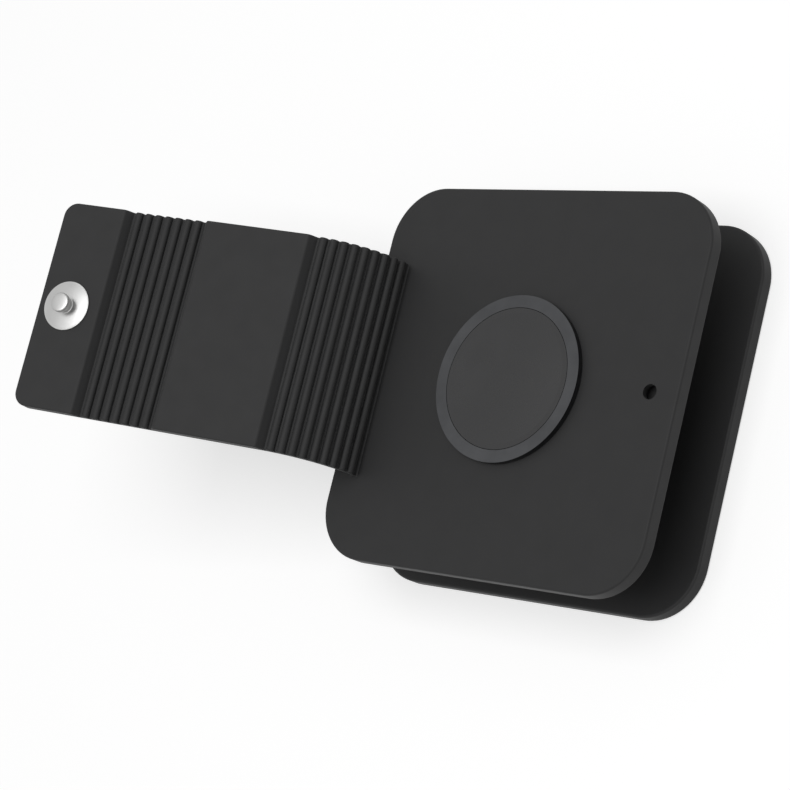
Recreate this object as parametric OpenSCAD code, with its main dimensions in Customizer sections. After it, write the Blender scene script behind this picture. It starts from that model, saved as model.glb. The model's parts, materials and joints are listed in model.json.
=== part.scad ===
// Charging dock: two square plates on a round cord spool, with a charging pad
// let into the front plate and a ribbed strap that folds over the front and
// snaps shut. It lies on its back. Millimetres. The origin is the centre of the
// rear plate's back face, X runs towards the stud hole, Z out of the front face.

/* [Plates] */
// Width of both plates along X
plate_w = 72; // [68:0.5:84]
// Height of both plates along Y
plate_h = 72; // [66:0.5:84]
// Radius of the plates' four corners
plate_corner_r = 10.5; // [7:0.5:16]
// Rounding along the plates' edges
plate_edge_r = 0.45; // [0.3:0.05:0.9]
// Thickness of the front plate
front_plate_t = 3.2; // [3:0.1:4.5]
// Thickness of the rear plate
rear_plate_t = 3.1; // [2.8:0.1:4.5]
// Gap between the plates, where the cord is wound
cord_gap = 14.2; // [14:0.1:20]

/* [Spool drum] */
// Wall of the drum
drum_wall = 2; // [1.6:0.1:3]
// Thickness of the drum's front wall
drum_front_t = 1.8; // [1.4:0.1:2.4]
// Height of the spigots that centre the drum in both plates
spigot_t = 0.6; // [0.4:0.1:0.8]
// Width of the step that the circuit board seats on
board_ledge = 1; // [0.8:0.1:1.6]
// Gap round pieces that slip into their seats
fit_gap = 0.1; // [0.05:0.01:0.2]

/* [Charging pad] */
// Diameter of the pad's metal shell
charger_d = 28; // [26:0.5:32]
// How far the shell reaches below the front face
charger_depth = 8.3; // [7.8:0.1:8.8]
// How far the pad stands proud of the front face
charger_proud = 1.2; // [0.8:0.1:2]
// Width of the shell's lip round its body
charger_lip = 1.5; // [1:0.1:2.5]
// Wall of the shell
shell_wall = 0.8; // [0.6:0.1:1.2]
// Width of the ledge in the shell that the cap seats on
cap_ledge = 0.8; // [0.5:0.1:1]
// Thickness of the cap at its rim
cap_t = 1.8; // [1.4:0.1:2.4]
// Depth of the dish in the cap
dish_depth = 0.8; // [0.4:0.1:1]
// Width of the ring nut that clamps the shell
nut_w = 2.5; // [2:0.1:3.5]
// Height of the ring nut
nut_t = 2.2; // [1.8:0.1:2.4]
// Thickness of the coil
coil_t = 1; // [0.6:0.1:1.2]
// Gap between the centring magnet and the coil round it
coil_bore_gap = 0.9; // [0.4:0.1:2.4]
// Thickness of the ferrite disc
ferrite_t = 0.8; // [0.5:0.1:1]
// Diameter of the centring magnet
magnet_d = 11.4; // [9:0.1:11.8]
// Thickness of the centring magnet
magnet_t = 3.8; // [3:0.1:4]

/* [Board and socket] */
// Thickness of the circuit board
board_t = 1; // [0.8:0.1:1.2]
// Height of the board's rear face above the rear plate
board_lift = 2.9; // [2.9:0.1:3.2]
// Width of the socket's metal shell
socket_w = 8.94; // [8:0.01:10]
// Height of the socket's metal shell
socket_h = 3.26; // [3:0.01:3.6]
// Length of the socket
socket_l = 7.3; // [6.5:0.1:8.5]
// Sheet thickness of the socket's metal shell
socket_sheet = 0.3; // [0.2:0.05:0.4]
// Width of the pocket that takes the plug's grip
plug_w = 12.6; // [12:0.1:13.5]
// Height of the pocket that takes the plug's grip
plug_h = 6.4; // [6:0.1:6.6]
// Wall round the plug pocket
pocket_wall = 1; // [0.8:0.1:1.1]

/* [Rear screws] */
// Diameter of the screws' shanks
screw_d = 1.9; // [1.6:0.1:2.2]
// Length of the screws' shanks
screw_l = 6.4; // [5:0.1:8]
// Diameter of the screws' heads
screw_head_d = 3.6; // [3.2:0.1:4]
// Height of the screws' heads
screw_head_t = 1.1; // [0.9:0.1:1.3]
// Diameter of the drum's screw bosses
boss_d = 4.6; // [4.2:0.1:5.2]

/* [Strap] */
// Width of the strap along Y
strap_w = 41.2; // [30:0.2:46]
// Distance from the plate's edge to the middle of the strap's root
root_inset = 5.3; // [4:0.1:8]
// Height of the root that stands on the front face
root_h = 0.9; // [0.7:0.1:1.6]
// Angle at which the strap leaves the front face
root_angle = 88; // [80:1:92]
// Angle of the panels at rest, from the face towards the stud hole
panel_angle = 163.5; // [150:0.5:175]
// Thickness of the strap between its ribs
web_t = 1; // [0.8:0.1:1.2]
// Thickness of the two flat panels
panel_t = 2.6; // [2.2:0.1:3.2]
// Width of a rib
rib_w = 1.6; // [1.3:0.1:1.7]
// Height of a rib above the web
rib_h = 0.85; // [0.8:0.05:1.2]
// Number of ribs between the root and the middle panel
inner_ribs = 9; // [6:1:12]
// Spacing of the inner ribs
inner_pitch = 1.95; // [1.9:0.05:2.4]
// Number of ribs between the two panels
outer_ribs = 7; // [5:2:11]
// Spacing of the outer ribs
outer_pitch = 2.2; // [1.95:0.05:2.6]
// Length of the slope from a panel down to the web
ramp_l = 1.5; // [1.2:0.1:2]
// Rounding at the top of that slope
shoulder_r = 0.8; // [0.4:0.1:1]
// Length of the middle panel's flat
middle_l = 21.8; // [16:0.2:28]
// Length of the end panel's flat
end_l = 13.4; // [12.5:0.2:18]
// Radius of the free end's corners
end_corner_r = 2.75; // [2:0.25:7]
// Slit at each fold, between one stretch of strap and the next
fold_gap = 0.2; // [0.18:0.01:0.26]

/* [Snap stud] */
// Distance from the strap's free end to the stud
stud_inset = 6.3; // [5.6:0.1:7]
// Diameter of the stud's flange
flange_d = 9.8; // [8:0.1:10.5]
// Thickness of the flange's rim
flange_t = 0.45; // [0.3:0.05:0.7]
// Height of the stud above the panel
stud_h = 3; // [2.6:0.1:3.4]
// Diameter of the stud's head
head_d = 3.8; // [3.4:0.1:4]
// Diameter of the stud's neck
neck_d = 3; // [2.8:0.1:3.2]
// Diameter of the rivet that holds the stud from behind
rivet_d = 2; // [1.6:0.1:2.2]
// Diameter of the rivet's cap
rivet_cap_d = 8.6; // [7:0.1:10]
// Thickness of the rivet's cap
rivet_cap_t = 0.7; // [0.5:0.1:1]
// Diameter of the stud hole's mouth
hole_d = 2.75; // [2.5:0.05:3.1]
// Depth of the stud hole's mouth
hole_mouth_t = 1.1; // [0.9:0.1:1.4]
// Depth of the whole stud hole
hole_depth = 2.6; // [2.3:0.1:2.7]
// Distance from the plate's edge to the stud hole
hole_inset = 5.8; // [4.5:0.1:8]

/* [Hidden] */
$fn = 96;
soft_black = "#37373a";
plastic_black = "#232326";
steel = "#c9cbcd";
dark_metal = "#4a4c50";
copper = "#b5713c";
board_green = "#1f4d36";

// Heights of the faces, from the back up
rear_in_z = rear_plate_t;
front_in_z = rear_in_z + cord_gap;
face_z = front_in_z + front_plate_t;

// Charging pad
shell_r = charger_d / 2;
shell_in_r = shell_r - shell_wall;
core_r = shell_in_r - cap_ledge;
shell_bottom_z = face_z - charger_depth;
shell_floor_t = 1;
shell_floor_z = shell_bottom_z + shell_floor_t;
pad_z = face_z + charger_proud;
cap_z = pad_z - cap_t;
cap_rim = 1;
coil_slack = 0.2;
part_gap = 0.2;
coil_z = cap_z - coil_slack - coil_t;
ferrite_z = coil_z - ferrite_t;
carrier_t = 1;
carrier_z = ferrite_z - carrier_t;
ferrite_r = core_r - 3 * part_gap;
coil_r = ferrite_r - 3 * part_gap;
magnet_r = magnet_d / 2;
coil_in_r = magnet_r + coil_bore_gap;
coil_w = coil_r - coil_in_r;
magnet_top_z = coil_z + coil_t - part_gap;
magnet_z = magnet_top_z - magnet_t;
lead_d = 0.5;
lead_x = 0.6;
lead_y = coil_r + part_gap + lead_d / 2;
lead_way_r = lead_x + lead_d / 2 + part_gap;

// Ring nut and drum
nut_r = shell_r + nut_w;
nut_clear = 0.5;
nut_z = front_in_z - drum_front_t - nut_t;
nut_notch = 2;
upper_r = nut_r + nut_clear;
cavity_r = upper_r + board_ledge;
drum_r = cavity_r + drum_wall;
spigot_r = cavity_r + drum_wall / 2;
drum_back_z = rear_in_z - spigot_t;

// Circuit board, socket and plug pocket
board_z = rear_in_z + board_lift;
board_top_z = board_z + board_t;
board_r = cavity_r - 2 * fit_gap;
socket_z = board_top_z + socket_h / 2;
shell_clear = 0.3;
pocket_floor_y = -(shell_r + shell_clear + pocket_wall);
pocket_back_y = pocket_floor_y + pocket_wall;
tongue_w = 6.7;
tongue_h = 0.7;
tongue_l = 5;
tongue_base = 1.6;
socket_end_flat = 0.06;
socket_corner_r = (socket_h - socket_end_flat) / 2;

// Pieces on the board: length, width and height, and the place of their middle
controller = [6, 6, 1];
controller_place = [0, 3];
inductor = [5, 5, 2.5];
inductor_place = [-8.5, 2];
capacitor_d = 2.2;
capacitor_h = 2.4;
capacitor_places = [[6.5, 5], [9.5, 5]];
chip = [1, 2, 0.8];
chip_places = [[6, -1], [8, -1], [10, -1]];

// Screws and bosses
boss_bite = 0.3;
boss_place_r = cavity_r - boss_d / 2 + boss_bite;
counterbore_gap = 0.3;
head_sink = 0.15;
counterbore_t = screw_head_t + head_sink;
screw_tip_z = counterbore_t + screw_l;
pilot_slack = 0.5;
pilot_top_z = screw_tip_z + pilot_slack;
boss_end_t = 1;
boss_top_z = pilot_top_z + boss_end_t;
drive_l = 2;
drive_w = 0.5;
drive_t = 0.55;
screw_places = [for (turn = [45:90:315]) [cos(turn), sin(turn)] * boss_place_r];

// Strap
strap_root = [root_inset - plate_w / 2, 0, face_z];
rest_turn = (panel_angle - root_angle) / (inner_ribs + 1);
front_n = panel_t - web_t / 2;
web_n = web_t / 2;
middle_span = middle_l + 2 * ramp_l;
end_span = end_l + ramp_l;
stud_u = end_span - stud_inset;
stud_hole_x = plate_w / 2 - hole_inset;
undercut_r = head_d / 2 + fit_gap;
root_fillet = 0.4;
steps = 6;

// Snap stud
head_t = 1.1;
stud_edge = 0.2;
stud_top_t = 0.8;
stud_bore_z = stud_h - stud_top_t;
collar_w = 0.8;
collar_h = 0.2;

// Direction at an angle from the face, in the plane across the strap's folds
function heading(angle) = [cos(angle), 0, sin(angle)];

// Angle of a stretch of strap: 1 is the rib at the root
function stretch_angle(i) = root_angle + min(i, inner_ribs + 1) * rest_turn;

// Fold at the end of a stretch: fold 0 is on the root
function fold(i) =
    i == 0 ? strap_root + root_h * heading(root_angle) :
    fold(i - 1) + stretch_length(i) * heading(stretch_angle(i));

// Length of a stretch from fold to fold
function stretch_length(i) =
    i <= inner_ribs ? inner_pitch :
    i == inner_ribs + 1 ? middle_span :
    i <= inner_ribs + 1 + outer_ribs ? outer_pitch : end_span;

// Points of an arc round a centre
function arc(centre, r, from, to, n = steps) =
    [for (k = [0:n]) centre + r * [cos(from + (to - from) * k / n),
                                   sin(from + (to - from) * k / n)]];

// Panel's slope, from the web up to the rounded shoulder, seen along the fold
slope_angle = atan2(front_n - web_n, ramp_l);
shoulder_reach = shoulder_r * tan(slope_angle / 2);
slope_start = fold_gap / 2 + 0.1;
slope_points = concat(
    [[fold_gap / 2, -web_n], [fold_gap / 2, web_n], [slope_start, web_n]],
    arc([ramp_l + shoulder_reach, front_n - shoulder_r], shoulder_r, 90 + slope_angle, 90));

// Square outline with round corners
module rounded_square(w, h, r) {
    square([w - 2 * r, h], center = true);
    square([w, h - 2 * r], center = true);
    for (x = [-1, 1], y = [-1, 1])
        translate([x * (w / 2 - r), y * (h / 2 - r)]) circle(r);
}

// Plate with round corners and rounded edges, its lower face at z = 0
module plate(t) {
    inner_w = plate_w - 2 * plate_corner_r;
    inner_h = plate_h - 2 * plate_corner_r;
    translate([0, 0, t / 2]) {
        rotate([90, 0, 90]) linear_extrude(inner_w, center = true)
            rounded_square(plate_h, t, plate_edge_r);
        rotate([90, 0, 0]) linear_extrude(inner_h, center = true)
            rounded_square(plate_w, t, plate_edge_r);
        for (x = [-1, 1], y = [-1, 1])
            translate([x * inner_w / 2, y * inner_h / 2, 0]) rotate_extrude()
                intersection() {
                    rounded_square(2 * plate_corner_r, t, plate_edge_r);
                    translate([0, -t / 2]) square([plate_corner_r, t]);
                }
    }
}

// Disc or ring standing on z
module ring(z, t, r, hole_r = 0) {
    translate([0, 0, z]) difference() {
        cylinder(h = t, r = r);
        if (hole_r > 0) translate([0, 0, -1]) cylinder(h = t + 2, r = hole_r);
    }
}

// Extrudes a profile drawn along a stretch of strap over the strap's width
module across_strap() {
    rotate([-90, 0, 0]) linear_extrude(strap_w, center = true) children();
}

// Puts a stretch of strap on its fold, at its rest angle
module on_fold(i) {
    translate(fold(i - 1)) rotate([0, -stretch_angle(i), 0]) children();
}

module front_plate() {
    color(soft_black) {
        difference() {
            translate([0, 0, front_in_z]) plate(front_plate_t);
            translate([0, 0, front_in_z - 1])
                cylinder(h = front_plate_t + 2, r = shell_r + fit_gap);
            translate([0, 0, front_in_z - 1]) cylinder(h = 1 + spigot_t, r = spigot_r + fit_gap);
            translate([stud_hole_x, 0, face_z - hole_mouth_t])
                cylinder(h = hole_mouth_t + 1, d = hole_d);
            translate([stud_hole_x, 0, face_z - hole_depth])
                cylinder(h = hole_depth - hole_mouth_t, r = undercut_r);
        }
        root_stub();
    }
}

// Stub that the strap grows from, flared into the face on both sides
module root_stub() {
    stub = root_h - fold_gap / 2;
    sink = 0.5;
    bite = 0.05;
    foot_n = web_n + root_fillet;
    foot_u = root_fillet - bite;
    translate(strap_root) rotate([0, -root_angle, 0]) across_strap() polygon(concat(
        [[-sink, -foot_n]],
        arc([foot_u, -foot_n], root_fillet, 180, 90),
        [[stub, -web_n], [stub, web_n]],
        arc([foot_u, foot_n], root_fillet, 270, 180),
        [[-sink, foot_n]]));
}

module rear_plate() {
    color(soft_black) difference() {
        plate(rear_plate_t);
        translate([0, 0, drum_back_z]) cylinder(h = spigot_t + 1, r = spigot_r + fit_gap);
        for (p = screw_places) translate([p[0], p[1], 0]) {
            translate([0, 0, -1]) cylinder(h = rear_plate_t + 2, r = screw_d / 2 + counterbore_gap);
            translate([0, 0, -1])
                cylinder(h = 1 + counterbore_t, r = screw_head_d / 2 + counterbore_gap);
        }
    }
}

module spool_drum() {
    color(plastic_black) difference() {
        union() {
            difference() {
                union() {
                    ring(rear_in_z, cord_gap, drum_r);
                    ring(drum_back_z, cord_gap + 2 * spigot_t, spigot_r);
                }
                ring(drum_back_z - 1, board_top_z - drum_back_z + 1, cavity_r);
                ring(board_top_z - 1, front_in_z - drum_front_t - board_top_z + 1, upper_r);
            }
            for (p = screw_places) translate([p[0], p[1], drum_back_z])
                cylinder(h = boss_top_z - drum_back_z, d = boss_d);
            intersection() {
                plug_block(pocket_wall, pocket_back_y);
                ring(drum_back_z, cord_gap, drum_r - drum_wall / 2);
            }
        }
        ring(face_z - charger_depth - 1, charger_depth + 1, shell_r + fit_gap);
        plug_block(0, pocket_floor_y);
        translate([0, pocket_back_y, socket_z]) rotate([90, 0, 0])
            linear_extrude(3 * pocket_wall, center = true)
                rounded_square(socket_w + 2 * fit_gap, socket_h + 2 * fit_gap,
                               socket_corner_r + fit_gap);
        for (p = screw_places) translate([p[0], p[1], drum_back_z - 1])
            cylinder(h = pilot_top_z - drum_back_z + 1, d = screw_d + fit_gap);
    }
}

// Block of the plug pocket's outline, grown by a wall, out to the drum's side
module plug_block(wall, y) {
    translate([-plug_w / 2 - wall, -drum_r - 1, socket_z - plug_h / 2 - wall])
        cube([plug_w + 2 * wall, drum_r + 1 + y, plug_h + 2 * wall]);
}

module rear_screws() {
    color(steel) for (p = screw_places) translate([p[0], p[1], counterbore_t - screw_head_t]) {
        difference() {
            cylinder(h = screw_head_t, d = screw_head_d);
            for (turn = [0, 90]) rotate([0, 0, turn])
                cube([drive_l, drive_w, 2 * drive_t], center = true);
        }
        translate([0, 0, screw_head_t]) cylinder(h = screw_l, d = screw_d);
    }
}

module charger_shell() {
    color(dark_metal) difference() {
        union() {
            ring(shell_bottom_z, charger_depth, shell_r);
            ring(face_z, charger_proud, shell_r + charger_lip);
        }
        ring(cap_z, cap_t + 1, shell_in_r);
        ring(shell_floor_z, cap_z - shell_floor_z + 1, core_r);
        translate([0, lead_y, shell_bottom_z - 1])
            cylinder(h = shell_floor_t + 1, r = lead_way_r);
    }
}

module charger_cap() {
    dish_r = shell_in_r - fit_gap - cap_rim;
    ball_r = (dish_r * dish_r + dish_depth * dish_depth) / (2 * dish_depth);
    color(plastic_black) rotate_extrude() difference() {
        translate([0, cap_z]) square([shell_in_r - fit_gap, cap_t]);
        translate([0, pad_z - dish_depth + ball_r]) circle(ball_r, $fn = 720);
    }
}

module charger_ring_nut() {
    color(dark_metal) difference() {
        ring(nut_z, nut_t, nut_r, shell_r + fit_gap);
        for (turn = [45:90:315]) rotate([0, 0, turn]) translate([nut_r, 0, nut_z])
            cube([2 * nut_notch, nut_notch, nut_t], center = true);
    }
}

module coil_carrier() {
    cup_r = magnet_r + fit_gap;
    color(soft_black) difference() {
        union() {
            ring(carrier_z, carrier_t, core_r - part_gap);
            ring(shell_floor_z, carrier_z - shell_floor_z, core_r - part_gap,
                 core_r - part_gap - carrier_t);
            ring(shell_floor_z, carrier_z - shell_floor_z, cup_r + carrier_t);
        }
        ring(magnet_z, magnet_t, cup_r);
        translate([0, lead_y, shell_floor_z - 1]) cylinder(h = carrier_z, r = lead_way_r);
    }
}

module charging_coil() {
    turns = 6;
    groove_w = 0.16;
    groove_t = 0.25;
    color(copper) difference() {
        ring(coil_z, coil_t, coil_r, coil_in_r);
        for (k = [1:turns - 1])
            ring(coil_z + coil_t - groove_t, 1, coil_r - coil_w * k / turns + groove_w / 2,
                 coil_r - coil_w * k / turns - groove_w / 2);
    }
}

module ferrite_disc() {
    color(dark_metal) difference() {
        ring(ferrite_z, ferrite_t, ferrite_r, magnet_r + fit_gap);
        translate([0, lead_y, ferrite_z - 1]) cylinder(h = ferrite_t + 2, r = lead_way_r);
    }
}

module centring_magnet() {
    color(steel) ring(magnet_z, magnet_t, magnet_r);
}

module coil_leads() {
    color(copper) for (x = [-lead_x, lead_x]) translate([x, lead_y, board_top_z])
        cylinder(h = coil_z + coil_t - board_top_z, d = lead_d);
}

module circuit_board() {
    color(board_green) difference() {
        ring(board_z, board_t, board_r);
        for (p = screw_places) translate([p[0], p[1], board_z - 1])
            cylinder(h = board_t + 2, d = boss_d + 4 * fit_gap);
        translate([-plug_w / 2 - pocket_wall - part_gap, -drum_r - 1, board_z - 1])
            cube([plug_w + 2 * (pocket_wall + part_gap), drum_r + 1 + pocket_back_y + part_gap,
                  board_t + 2]);
    }
}

// Block that stands on the board
module on_board(size, place) {
    translate([place[0], place[1], board_top_z + size[2] / 2]) cube(size, center = true);
}

module board_chips() {
    color(plastic_black) {
        on_board(controller, controller_place);
        on_board(inductor, inductor_place);
        for (p = chip_places) on_board(chip, p);
        for (p = capacitor_places) translate([p[0], p[1], board_top_z])
            cylinder(h = capacitor_h, d = capacitor_d);
    }
}

module power_socket() {
    color(steel) translate([0, pocket_floor_y, socket_z]) rotate([-90, 0, 0]) difference() {
        linear_extrude(socket_l) rounded_square(socket_w, socket_h, socket_corner_r);
        translate([0, 0, -1]) linear_extrude(socket_l - tongue_base + 1)
            rounded_square(socket_w - 2 * socket_sheet, socket_h - 2 * socket_sheet,
                           socket_corner_r - socket_sheet);
    }
}

module socket_tongue() {
    color(plastic_black) translate([0, pocket_floor_y + socket_l - tongue_base - tongue_l / 2,
                                    socket_z])
        cube([tongue_w, tongue_l, tongue_h], center = true);
}

// One rib on its stretch of web
module rib(pitch) {
    color(soft_black) across_strap() {
        translate([fold_gap / 2, -web_n]) square([pitch - fold_gap, web_t]);
        translate([(pitch - rib_w) / 2, 0]) square([rib_w, web_n + rib_h - rib_w / 2]);
        translate([pitch / 2, web_n + rib_h - rib_w / 2]) circle(d = rib_w, $fn = 32);
    }
}

module inner_rib(i) { on_fold(i) rib(inner_pitch); }

module outer_rib(i) { on_fold(inner_ribs + 1 + i) rib(outer_pitch); }

module strap_middle_panel() {
    mirrored = [for (k = [len(slope_points) - 1:-1:0])
        [middle_span - slope_points[k][0], slope_points[k][1]]];
    color(soft_black) on_fold(inner_ribs + 1) across_strap()
        polygon(concat(slope_points, mirrored));
}

module strap_end_panel() {
    color(soft_black) on_fold(inner_ribs + outer_ribs + 2) difference() {
        intersection() {
            across_strap() polygon(concat(slope_points,
                [[end_span, front_n], [end_span, -web_n]]));
            linear_extrude(4 * panel_t, center = true)
                rounded_square(2 * end_span, strap_w, end_corner_r);
        }
        translate([stud_u, 0, 0])
            cylinder(h = 4 * panel_t, d = rivet_d + 4 * fit_gap, center = true);
    }
}

// Puts a turned piece on the end panel's stud hole, its axis out of the front
module on_stud_hole(n) {
    on_fold(inner_ribs + outer_ribs + 2) translate([stud_u, 0, -n]) rotate([180, 0, 0])
        children();
}

module snap_stud() {
    bore_r = rivet_d / 2 + fit_gap / 2;
    neck_r = neck_d / 2;
    head_r = head_d / 2;
    head_z = stud_h - head_t;
    rim_e = flange_t / 2;
    rim_r = flange_d / 2 - rim_e;
    dish_z = flange_t * 0.5;
    collar_r = neck_r + collar_w;
    collar_z = flange_t + collar_h;
    color(steel) on_stud_hole(front_n) rotate_extrude() polygon(concat(
        [[bore_r, 0], [rim_r, 0]],
        arc([rim_r, rim_e], rim_e, -90, 90),
        [[rim_r - rim_e, flange_t], [rim_r - 3 * rim_e, dish_z], [collar_r + rim_e, dish_z],
         [collar_r, collar_z]],
        arc([neck_r + stud_edge, collar_z + stud_edge], stud_edge, 270, 180),
        [[neck_r, head_z - stud_edge]],
        arc([head_r - stud_edge, head_z + stud_edge], stud_edge, -90, 0),
        arc([head_r - 2 * stud_edge, stud_h - 2 * stud_edge], 2 * stud_edge, 0, 90),
        [[0, stud_h], [0, stud_bore_z], [bore_r, stud_bore_z]]));
}

module stud_rivet() {
    cap_edge = 0.3;
    rivet_top = panel_t + stud_bore_z - part_gap;
    color(steel) on_stud_hole(-web_n) rotate_extrude() polygon(concat(
        [[0, -rivet_cap_t]],
        arc([rivet_cap_d / 2 - cap_edge, cap_edge - rivet_cap_t], cap_edge, -90, 0),
        [[rivet_cap_d / 2, 0], [rivet_d / 2, 0],
         [rivet_d / 2, rivet_top], [0, rivet_top]]));
}

front_plate();
rear_plate();
spool_drum();
rear_screws();
charger_shell();
charger_cap();
charger_ring_nut();
coil_carrier();
charging_coil();
ferrite_disc();
centring_magnet();
coil_leads();
circuit_board();
board_chips();
power_socket();
socket_tongue();
for (i = [1:inner_ribs]) inner_rib(i);
strap_middle_panel();
for (i = [1:outer_ribs]) outer_rib(i);
strap_end_panel();
snap_stud();
stud_rivet();
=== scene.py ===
"""Looks of the charging dock: matte black silicone, a satin steel stud and a dark metal pad.

Everything is in metres in the part's frame: the rear plate's back face lies at z = 0,
X runs towards the stud hole and Y along the strap's folds. Sizes marked mm are
millimetres and are turned into metres where a mesh is made.
"""

import json
import math

import bpy
import numpy as np
from mathutils import Matrix, Quaternion, Vector


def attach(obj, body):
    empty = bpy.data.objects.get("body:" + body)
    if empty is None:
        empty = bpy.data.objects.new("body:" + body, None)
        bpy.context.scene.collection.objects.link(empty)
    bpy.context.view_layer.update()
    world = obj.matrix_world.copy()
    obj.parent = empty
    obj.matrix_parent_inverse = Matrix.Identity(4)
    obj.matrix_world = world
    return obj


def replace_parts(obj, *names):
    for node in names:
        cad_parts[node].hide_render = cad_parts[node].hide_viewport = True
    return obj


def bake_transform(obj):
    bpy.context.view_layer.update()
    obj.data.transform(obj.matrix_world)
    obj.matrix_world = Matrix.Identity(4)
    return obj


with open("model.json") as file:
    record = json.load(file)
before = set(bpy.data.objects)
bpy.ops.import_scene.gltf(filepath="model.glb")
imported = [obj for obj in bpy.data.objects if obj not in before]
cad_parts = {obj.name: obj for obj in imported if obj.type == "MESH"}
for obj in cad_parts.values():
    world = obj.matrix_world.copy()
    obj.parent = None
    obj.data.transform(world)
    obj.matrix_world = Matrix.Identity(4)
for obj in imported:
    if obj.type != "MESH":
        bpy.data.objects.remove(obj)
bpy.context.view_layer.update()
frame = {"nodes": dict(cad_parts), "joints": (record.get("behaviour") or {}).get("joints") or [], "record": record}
scene = bpy.context.scene

MM = 0.001
FACE_Z = 20.5

IMAGE = 790
FOCAL_PX = 2297.6956
SENSOR = 36.0
CAMERA_TURN = Vector((2.7072, 0.2403, -1.0016))
CAMERA_SHIFT = Vector((20.3625, -2.6395, 408.1096))


def make_camera():
    """Camera at the photograph's viewing angle."""
    turn = Quaternion(CAMERA_TURN.normalized(), CAMERA_TURN.length).to_matrix()
    place = -(turn.transposed() @ CAMERA_SHIFT) + Vector((0, 0, FACE_Z))
    axes = turn.transposed() @ Matrix(((1, 0, 0), (0, -1, 0), (0, 0, -1)))
    data = bpy.data.cameras.new("camera")
    data.sensor_width = SENSOR
    data.lens = FOCAL_PX * SENSOR / IMAGE
    data.clip_start, data.clip_end = 0.01, 20
    camera = bpy.data.objects.new("camera", data)
    camera.matrix_world = Matrix.Translation(place * MM) @ axes.to_4x4()
    scene.collection.objects.link(camera)
    scene.camera = camera


def new_material(name):
    """Node material: the material, its nodes, its links and its main shader."""
    material = bpy.data.materials.new(name)
    material.use_nodes = True
    nodes, links = material.node_tree.nodes, material.node_tree.links
    return material, nodes, links, nodes["Principled BSDF"]


def add_noise(nodes, links, scale, detail=3.0, rough=0.5):
    """Noise in the piece's own coordinates; scale is in features per metre."""
    coordinates = nodes.new("ShaderNodeTexCoord")
    noise = nodes.new("ShaderNodeTexNoise")
    noise.inputs["Scale"].default_value = scale
    noise.inputs["Detail"].default_value = detail
    noise.inputs["Roughness"].default_value = rough
    links.new(coordinates.outputs["Object"], noise.inputs["Vector"])
    return noise


def add_ramp(nodes, links, source, stops, target):
    """Colour ramp from a noise to a socket. stops are (place, grey or colour)."""
    ramp = nodes.new("ShaderNodeValToRGB")
    while len(ramp.color_ramp.elements) < len(stops):
        ramp.color_ramp.elements.new(0.5)
    for element, (place, colour) in zip(ramp.color_ramp.elements, stops):
        element.position = place
        colour = (colour,) * 3 if isinstance(colour, float) else colour
        element.color = (*colour, 1)
    links.new(source.outputs["Fac"], ramp.inputs["Fac"])
    links.new(ramp.outputs["Color"], target)


def add_bump(nodes, links, source, bsdf, distance, strength, before=None):
    """Fine relief from a noise; before is a bump that it adds to."""
    bump = nodes.new("ShaderNodeBump")
    bump.inputs["Strength"].default_value = strength
    bump.inputs["Distance"].default_value = distance
    links.new(source.outputs["Fac"], bump.inputs["Height"])
    if before:
        links.new(before.outputs["Normal"], bump.inputs["Normal"])
    links.new(bump.outputs["Normal"], bsdf.inputs["Normal"])
    return bump


def silicone(name, dark, light):
    """Moulded silicone: fine mould grain, a dull sheen and faint cloudiness."""
    material, nodes, links, bsdf = new_material(name)
    cloud = add_noise(nodes, links, 45, 4, 0.55)
    add_ramp(nodes, links, cloud, [(0.3, dark), (0.7, light)], bsdf.inputs["Base Color"])
    touch = add_noise(nodes, links, 260, 3, 0.5)
    add_ramp(nodes, links, touch, [(0.3, 0.63), (0.75, 0.67)], bsdf.inputs["Roughness"])
    grain = add_noise(nodes, links, 5200, 2, 0.6)
    ripple = add_noise(nodes, links, 420, 2, 0.5)
    fine = add_bump(nodes, links, grain, bsdf, 0.00002, 0.35)
    add_bump(nodes, links, ripple, bsdf, 0.00002, 0.08, fine)
    bsdf.inputs["Specular IOR Level"].default_value = 0.34
    bsdf.inputs["Sheen Weight"].default_value = 0.05
    bsdf.inputs["Sheen Roughness"].default_value = 0.4
    return material


def metal(name, dark, light, rough_low, rough_high, scale=900.0, grain=0.000006):
    """Metal with uneven polish and fine marks."""
    material, nodes, links, bsdf = new_material(name)
    tone = add_noise(nodes, links, scale * 0.2, 3, 0.5)
    add_ramp(nodes, links, tone, [(0.3, dark), (0.7, light)], bsdf.inputs["Base Color"])
    polish = add_noise(nodes, links, scale, 4, 0.6)
    add_ramp(nodes, links, polish, [(0.3, rough_low), (0.75, rough_high)],
             bsdf.inputs["Roughness"])
    add_bump(nodes, links, polish, bsdf, grain, 0.2)
    bsdf.inputs["Metallic"].default_value = 1.0
    return material


def plastic(name, dark, light, rough_low, rough_high, scale=1500.0, specular=0.5):
    """Moulded plastic with a fine spark-eroded grain."""
    material, nodes, links, bsdf = new_material(name)
    tone = add_noise(nodes, links, 60, 3, 0.5)
    add_ramp(nodes, links, tone, [(0.3, dark), (0.7, light)], bsdf.inputs["Base Color"])
    patch = add_noise(nodes, links, 200, 3, 0.5)
    add_ramp(nodes, links, patch, [(0.3, rough_low), (0.75, rough_high)],
             bsdf.inputs["Roughness"])
    grain = add_noise(nodes, links, scale, 2, 0.6)
    add_bump(nodes, links, grain, bsdf, 0.00003, 0.25)
    bsdf.inputs["Specular IOR Level"].default_value = specular
    return material


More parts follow.
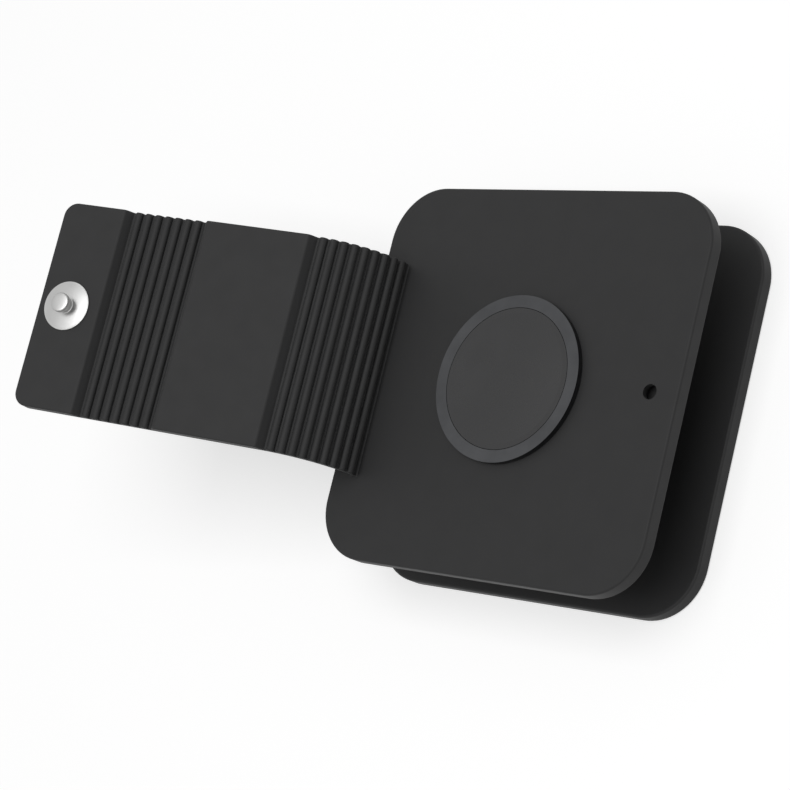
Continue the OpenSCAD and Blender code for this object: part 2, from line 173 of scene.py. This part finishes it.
def make_materials():
    """One material for each slot of the record."""
    return {
        "silicone": silicone("silicone", (0.0131, 0.0131, 0.0135), (0.0139, 0.0139, 0.0143)),
        "drum_plastic": plastic("drum_plastic", (0.012, 0.012, 0.0125), (0.0135, 0.0135, 0.014),
                                0.46, 0.54, specular=0.3),
        "pad_metal": metal("pad_metal", (0.06, 0.0612, 0.064), (0.075, 0.0765, 0.08), 0.3, 0.42),
        "pad_cap": plastic("pad_cap", (0.012, 0.012, 0.013), (0.016, 0.016, 0.017),
                           0.24, 0.32, 2600.0),
        "stud_steel": metal("stud_steel", (0.4, 0.4, 0.396), (0.45, 0.45, 0.446),
                            0.28, 0.36, 500.0, grain=0.000001),
        "plated_steel": metal("plated_steel", (0.55, 0.555, 0.56), (0.62, 0.62, 0.63), 0.25, 0.38),
        "copper": metal("copper", (0.60, 0.28, 0.13), (0.68, 0.34, 0.18), 0.28, 0.4),
        "ferrite": plastic("ferrite", (0.045, 0.045, 0.047), (0.06, 0.06, 0.062), 0.6, 0.75),
        "board": plastic("board", (0.01, 0.075, 0.035), (0.014, 0.095, 0.045), 0.3, 0.42),
        "black_moulding": plastic("black_moulding", (0.014, 0.014, 0.014), (0.02, 0.02, 0.02),
                                  0.45, 0.6),
    }


def add_piece(name, points, faces, material, sharp=35):
    """Mesh piece from points in mm, smooth-shaded up to the sharp angle."""
    mesh = bpy.data.meshes.new(name)
    mesh.from_pydata([Vector(p) * MM for p in points], [], faces)
    mesh.validate()
    mesh.update()
    mesh.polygons.foreach_set("use_smooth", [True] * len(mesh.polygons))
    mesh.set_sharp_from_angle(angle=math.radians(sharp))
    mesh.materials.append(material)
    piece = bpy.data.objects.new(name, mesh)
    scene.collection.objects.link(piece)
    return piece


def even_normals(piece):
    """Big flat faces keep straight shading beside small round edges."""
    modifier = piece.modifiers.new("even_normals", "WEIGHTED_NORMAL")
    modifier.keep_sharp = True
    modifier.weight = 100


def arc(centre, radius, start, end, steps):
    """Points of an arc, angles in degrees."""
    found = []
    for k in range(steps + 1):
        angle = math.radians(start + (end - start) * k / steps)
        found.append((centre[0] + radius * math.cos(angle), centre[1] + radius * math.sin(angle)))
    return found


# Strap, in mm. A name with _N is a distance out of the strap's middle plane.
STRAP_HALF = 20.6
WEB_N = 0.5
PANEL_N = 2.1
RIB_R = 0.8
RIB_N = 0.55
CREST_N = RIB_N + RIB_R
CREST_FLAT = 0.05
FOOT_R = 0.05
EDGE_R = 0.3
EDGE_STEPS = 4
BEND = 0.45
SMOOTH_ANGLE = 60

# Root: how far it goes below the first fold, and the flare into the face
ROOT_ANGLE = 88.0
ROOT_DEPTH = 1.05
ROOT_FLARE_R = 0.45
ROOT_FLARE_START = 0.48
ROOT_FLARE_N = 0.03
ROOT_WIDEN = 0.02

# Panels: distances from the fold to the slope's foot, its rounded shoulder and the flat
SLOPE_START = 0.2
SLOPE_RUN, SLOPE_RISE = 1.062, 1.347
SLOPE_FOOT_R = 0.3
SHOULDER_R = 0.8
SHOULDER_CENTRE = 1.846
SHOULDER_END = 2.2
PANEL_START = 2.6
MIDDLE_SPAN = 24.8
END_SPAN = 14.9
END_CORNER_R = 2.75

# Stud: heights are above the end panel
STUD_PLACE = 8.6
STUD_H = 3.0
STUD_RIM_R = 0.15
STUD_RIM_H = 0.28
STUD_DOME_H = 0.34
STUD_DOME_R = 4.8
FLANGE_R = 4.9
NECK_R = 1.5
NECK_FOOT = 0.2
NECK_WAIST = 0.12
HEAD_R = 1.9
HEAD_LOW = 1.9
HEAD_EDGE_LOW = 0.12
HEAD_EDGE_TOP = 0.3

FOLDS = [Vector(joint["pos_m"]) / MM for joint in frame["joints"]]
INNER = 9
OUTER = 7
STRETCHES = ["front_plate"] + [f"inner_rib_{i}" for i in range(1, INNER + 1)]
STRETCHES += ["strap_middle_panel"] + [f"outer_rib_{i}" for i in range(1, OUTER + 1)]
STRETCHES += ["strap_end_panel"]
BODIES = ["dock"] + STRETCHES[1:]


def stretch_angle(i):
    """Angle in degrees of stretch i, from the face; 0 is the root."""
    if i == 0:
        return ROOT_ANGLE
    if i >= len(FOLDS):
        i = len(FOLDS) - 1
    step = FOLDS[i] - FOLDS[i - 1]
    return math.degrees(math.atan2(step.z, step.x))


def strap_point(fold, along, out, y):
    """Point at a distance along the strap from a fold, and out of its middle plane.

    The strap bends round a small arc at the fold and is straight on both sides.
    """
    before = math.radians(stretch_angle(fold))
    turn = math.radians(stretch_angle(fold + 1)) - before
    if abs(turn) < 1e-5 or abs(along) >= BEND:
        angle = before if along < 0 else before + turn
        x = FOLDS[fold].x + along * math.cos(angle)
        z = FOLDS[fold].z + along * math.sin(angle)
    else:
        radius = BEND / math.tan(turn / 2)
        passed = (along + BEND) / (2 * BEND) * turn
        angle = before + passed
        forward, sideways = radius * math.sin(passed), radius * (1 - math.cos(passed))
        x = FOLDS[fold].x + (forward - BEND) * math.cos(before) - sideways * math.sin(before)
        z = FOLDS[fold].z + (forward - BEND) * math.sin(before) + sideways * math.cos(before)
    return (x + out * math.sin(angle), y, z - out * math.cos(angle))


def rib_side(half):
    """Half a groove and half a rib: (along, out) from the fold to the rib's crest."""
    foot = half - RIB_R
    low = math.degrees(math.asin((WEB_N + FOOT_R - RIB_N) / RIB_R))
    high = math.degrees(math.acos(CREST_FLAT / RIB_R))
    points = [(0.0, WEB_N)]
    points += arc((foot - FOOT_R, WEB_N + FOOT_R), FOOT_R, -90, 0, 4)
    points += [(half - RIB_R * math.cos(math.radians(a)), RIB_N + RIB_R * math.sin(math.radians(a)))
               for a in np.linspace(low, high, 10)[1:]]
    points[-1] = (half - CREST_FLAT, CREST_N)
    return points + [(half, CREST_N)]


def panel_side():
    """Web, slope and rounded shoulder: from the fold to the panel's flat."""
    slope = math.atan2(SLOPE_RISE, SLOPE_RUN)
    reach = SLOPE_FOOT_R * math.tan(slope / 2)
    points = [(0.0, WEB_N)]
    points += [(SLOPE_START - reach + SLOPE_FOOT_R * math.sin(a),
                WEB_N + SLOPE_FOOT_R * (1 - math.cos(a))) for a in np.linspace(0, slope, 5)]
    points += [(SLOPE_START + run, WEB_N + run * math.tan(slope)) for run in (0.4, 0.75)]
    turn = 0.95 * math.degrees(slope)
    points += arc((SHOULDER_CENTRE, PANEL_N - SHOULDER_R), SHOULDER_R, 90 + turn, 90, 10)
    return points + [(SHOULDER_END, PANEL_N), (PANEL_START, PANEL_N)]


def root_side():
    """Root: flared into the face, from the fold down below the face."""
    points = [(0.0, WEB_N), (0.2, WEB_N + 0.02)]
    points += [(ROOT_FLARE_START + ROOT_FLARE_R * math.sin(a),
                WEB_N + ROOT_FLARE_N + ROOT_FLARE_R * (1 - math.cos(a)))
               for a in np.linspace(0, math.pi / 2, 6)]
    return points + [(ROOT_DEPTH, WEB_N + ROOT_FLARE_N + ROOT_FLARE_R)]


def section(front, back, half_y):
    """One ring of the strap's skin: front, rounded edges, sides and back."""
    ring = []
    steps = range(EDGE_STEPS + 1)
    thick = front[1] - back[1]
    for out, sides in ((1, (-1, 1)), (-1, (1, -1))):
        for number, side in enumerate(sides):
            for k in steps if number == 0 else reversed(steps):
                a = math.radians(90 * k / EDGE_STEPS)
                y = half_y - EDGE_R + EDGE_R * math.cos(a)
                drop = EDGE_R * (1 - math.sin(a))
                share = drop / thick if out > 0 else 1 - drop / thick
                n = front[1] - drop if out > 0 else back[1] + drop
                ring.append((front[0] + (back[0] - front[0]) * share, n, side * y))
    return ring


def skin(name, fold, rings, material):
    """Piece from rings of points that are given from a fold."""
    points = [strap_point(fold, s, n, y) for ring in rings for s, n, y in ring]
    count = len(rings[0])
    faces = []
    for k in range(len(rings) - 1):
        for m in range(count):
            a, b = k * count + m, k * count + (m + 1) % count
            faces.append((a, a + count, b + count, b))
    piece = add_piece(name, points, faces, material, SMOOTH_ANGLE)
    even_normals(piece)
    return piece


def strap_strip(fold, material):
    """Skin over one fold, from the crest or flat before it to the one after it."""
    if fold == 0:
        before = root_side()
    else:
        half = (FOLDS[fold] - FOLDS[fold - 1]).length / 2
        before = panel_side() if BODIES[fold].endswith("panel") else rib_side(half)
    if fold == INNER or fold == INNER + OUTER + 1:
        after = panel_side()
    else:
        after = rib_side((FOLDS[fold + 1] - FOLDS[fold]).length / 2)
    front = [(-s, n) for s, n in reversed(before)] + after[1:]
    low, high = front[0][0], front[-1][0]
    margin, evenness, root_end = 0.2, 0.6, 0.25
    rings = []
    for k, (s, n) in enumerate(front):
        even = low + (high - low) * k / (len(front) - 1)
        edge = min(s - low, high - s, margin) / margin
        back_s = s + (even - s) * max(0.0, edge) * evenness
        back_n = -WEB_N
        half_y = STRAP_HALF
        if fold == 0 and s < root_end:
            back_s, back_n, half_y = s, -max(n, WEB_N), STRAP_HALF + ROOT_WIDEN
        rings.append(section((s, n), (back_s, back_n), half_y))
    piece = skin(f"strap_fold_{fold + 1}", fold, rings, material)
    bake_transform(piece)
    return piece


def middle_panel(material):
    """Flat part of the middle panel, between its two shoulders."""
    fold = INNER
    stops = np.linspace(PANEL_START, MIDDLE_SPAN - PANEL_START, 9)
    rings = [section((s, PANEL_N), (s, -WEB_N), STRAP_HALF) for s in stops]
    piece = skin("strap_middle", fold, rings, material)
    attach(piece, "strap_middle_panel")
    return piece


def end_panel(material):
    """Flat part of the end panel, round the free end's two corners."""
    fold = INNER + OUTER + 1
    path = [(PANEL_START, -STRAP_HALF, 0, -1)]
    for side in (-1, 1):
        angles = range(-90, 1, 9) if side < 0 else range(0, 91, 9)
        for a in angles:
            turn = math.radians(a)
            path.append((END_SPAN - END_CORNER_R + END_CORNER_R * math.cos(turn),
                         side * (STRAP_HALF - END_CORNER_R) + END_CORNER_R * math.sin(turn),
                         math.cos(turn), math.sin(turn)))
    path.append((PANEL_START, STRAP_HALF, 0, 1))
    turns = [math.radians(90 * k / EDGE_STEPS) for k in range(EDGE_STEPS, -1, -1)]
    edge = [(EDGE_R * (1 - math.cos(a)), EDGE_R * (1 - math.sin(a))) for a in turns]
    profile = [(inset, PANEL_N - drop) for inset, drop in edge]
    profile += [(inset, -WEB_N + drop) for inset, drop in reversed(edge)]
    points = [strap_point(fold, s - inset * out_s, n, y - inset * out_y)
              for s, y, out_s, out_y in path for inset, n in profile]
    count = len(profile)
    faces = []
    for k in range(len(path) - 1):
        for m in range(count - 1):
            a = k * count + m
            faces.append((a, a + count, a + count + 1, a + 1))
    faces.append(tuple(k * count for k in range(len(path))))
    faces.append(tuple(k * count + count - 1 for k in reversed(range(len(path)))))
    piece = add_piece("strap_end", points, faces, material, SMOOTH_ANGLE)
    even_normals(piece)
    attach(piece, "strap_end_panel")
    return piece


def snap_stud(material):
    """Turned stud on the end panel: domed flange, neck with a rounded foot, flat head."""
    fold = INNER + OUTER + 1
    dome = [(r, STUD_RIM_H + STUD_DOME_H * (1 - (r / STUD_DOME_R) ** 2))
            for r in np.linspace(STUD_DOME_R, NECK_R + NECK_FOOT, 9)]
    foot_h = dome[-1][1] + NECK_FOOT
    profile = [(STUD_DOME_R, 0.0)]
    profile += arc((FLANGE_R - STUD_RIM_R, STUD_RIM_R), STUD_RIM_R, -75, 60, 6) + dome
    profile += arc((NECK_R + NECK_FOOT, foot_h), NECK_FOOT, 270, 180, 6)[1:]
    waist_r = NECK_R - NECK_WAIST
    profile += [(NECK_R, 1.6), (NECK_R - 0.02, 1.68), (waist_r, 1.72), (waist_r, 1.86)]
    profile += [(NECK_R, HEAD_LOW), (HEAD_R - 0.14, HEAD_LOW)]
    profile += arc((HEAD_R - HEAD_EDGE_LOW, HEAD_LOW + HEAD_EDGE_LOW), HEAD_EDGE_LOW, -80, 0, 4)
    profile += [(HEAD_R, 2.3), (HEAD_R, 2.58)]
    profile += arc((HEAD_R - HEAD_EDGE_TOP, 2.63), HEAD_EDGE_TOP, 8, 80, 7)
    profile += [(1.3, 2.955), (0.9, 2.98), (0.5, 2.995), (0.15, STUD_H)]
    count, turns = len(profile), 96
    points = [strap_point(fold, STUD_PLACE + r * math.cos(t), PANEL_N + h, r * math.sin(t))
              for t in np.linspace(0, 2 * math.pi, turns, endpoint=False) for r, h in profile]
    faces = []
    for k in range(turns):
        for m in range(count - 1):
            a, b = k * count + m, (k + 1) % turns * count + m
            faces.append((a, a + 1, b + 1, b))
    faces.append(tuple(k * count + count - 1 for k in range(turns)))
    faces.append(tuple(k * count for k in reversed(range(turns))))
    piece = add_piece("stud", points, faces, material, 50)
    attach(piece, "strap_end_panel")
    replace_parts(piece, "snap_stud")


def make_strap(material):
    """Skin of the whole strap, in place of the plain pieces."""
    for fold in range(len(FOLDS)):
        piece = strap_strip(fold, material)
        if BODIES[fold + 1].endswith("panel"):
            continue
        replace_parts(piece, BODIES[fold + 1])
    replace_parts(middle_panel(material), "strap_middle_panel")
    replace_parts(end_panel(material), "strap_end_panel")


def white_rays(nodes, links):
    """Socket that is 1 for rays that see the white surroundings, and 0 for the others."""
    path = nodes.new("ShaderNodeLightPath")
    found = path.outputs["Is Camera Ray"]
    for kind in ("Is Glossy Ray", "Is Transmission Ray"):
        either = nodes.new("ShaderNodeMath")
        either.operation = "MAXIMUM"
        links.new(found, either.inputs[0])
        links.new(path.outputs[kind], either.inputs[1])
        found = either.outputs[0]
    return found


def make_floor():
    """White floor that keeps the dock's soft shadow."""
    size = 6.0
    mesh = bpy.data.meshes.new("floor")
    mesh.from_pydata([(-size, -size, 0), (size, -size, 0), (size, size, 0), (-size, size, 0)],
                     [], [(0, 1, 2, 3)])
    floor = bpy.data.objects.new("floor", mesh)
    floor.location.z = -0.00005
    scene.collection.objects.link(floor)
    material = bpy.data.materials.new("floor")
    material.use_nodes = True
    nodes, links = material.node_tree.nodes, material.node_tree.links
    nodes.clear()
    output = nodes.new("ShaderNodeOutputMaterial")
    diffuse = nodes.new("ShaderNodeBsdfDiffuse")
    diffuse.inputs["Color"].default_value = (0.64, 0.64, 0.64, 1)
    glow = nodes.new("ShaderNodeEmission")
    coordinates = nodes.new("ShaderNodeTexCoord")
    distance = nodes.new("ShaderNodeVectorMath")
    distance.operation = "LENGTH"
    links.new(coordinates.outputs["Object"], distance.inputs[0])
    level = nodes.new("ShaderNodeMapRange")
    for name, value in (("From Min", 0.25), ("From Max", 1.1), ("To Min", 0.57), ("To Max", 1.0)):
        level.inputs[name].default_value = value
    links.new(distance.outputs["Value"], level.inputs["Value"])
    strength = nodes.new("ShaderNodeMath")
    strength.operation = "MULTIPLY"
    links.new(level.outputs["Result"], strength.inputs[1])
    links.new(white_rays(nodes, links), strength.inputs[0])
    links.new(strength.outputs[0], glow.inputs["Strength"])
    both = nodes.new("ShaderNodeAddShader")
    links.new(diffuse.outputs[0], both.inputs[0])
    links.new(glow.outputs[0], both.inputs[1])
    links.new(both.outputs[0], output.inputs["Surface"])
    mesh.materials.append(material)


def make_world():
    """Even studio light, with a white background for what the camera sees."""
    world = bpy.data.worlds.new("world")
    world.use_nodes = True
    scene.world = world
    nodes, links = world.node_tree.nodes, world.node_tree.links
    nodes.clear()
    output = nodes.new("ShaderNodeOutputWorld")
    ambient = nodes.new("ShaderNodeBackground")
    ambient.inputs["Color"].default_value = (1, 1, 1, 1)
    ambient.inputs["Strength"].default_value = 0.22
    seen = nodes.new("ShaderNodeBackground")
    seen.inputs["Color"].default_value = (1, 1, 1, 1)
    seen.inputs["Strength"].default_value = 1.0
    mix = nodes.new("ShaderNodeMixShader")
    links.new(white_rays(nodes, links), mix.inputs[0])
    links.new(ambient.outputs[0], mix.inputs[1])
    links.new(seen.outputs[0], mix.inputs[2])
    links.new(mix.outputs[0], output.inputs["Surface"])


def make_key_light():
    """Large soft lamp above the dock, a little to the stud hole's side."""
    place, target = Vector((0.2, 0.0, 1.15)), Vector((-0.02, 0, 0.02))
    data = bpy.data.lights.new("key", "AREA")
    data.energy = 7.6
    data.size = 0.9
    light = bpy.data.objects.new("key", data)
    light.location = place
    light.rotation_mode = "QUATERNION"
    light.rotation_quaternion = (target - place).to_track_quat("-Z", "Y")
    scene.collection.objects.link(light)


def dress_nodes(materials):
    """Materials and smooth shading of the pieces that come with the frame."""
    slot_of = {row["node"]: row["material_slot"] for row in frame["record"]["subparts"]}
    for node, thing in frame["nodes"].items():
        thing.data.materials.clear()
        thing.data.materials.append(materials[slot_of[node]])
        thing.data.polygons.foreach_set("use_smooth", [True] * len(thing.data.polygons))
        thing.data.set_sharp_from_angle(angle=math.radians(30))
        even_normals(thing)


make_camera()
materials = make_materials()
dress_nodes(materials)
make_strap(materials["silicone"])
snap_stud(materials["stud_steel"])
make_floor()
make_world()
make_key_light()
scene.view_settings.view_transform = "Standard"
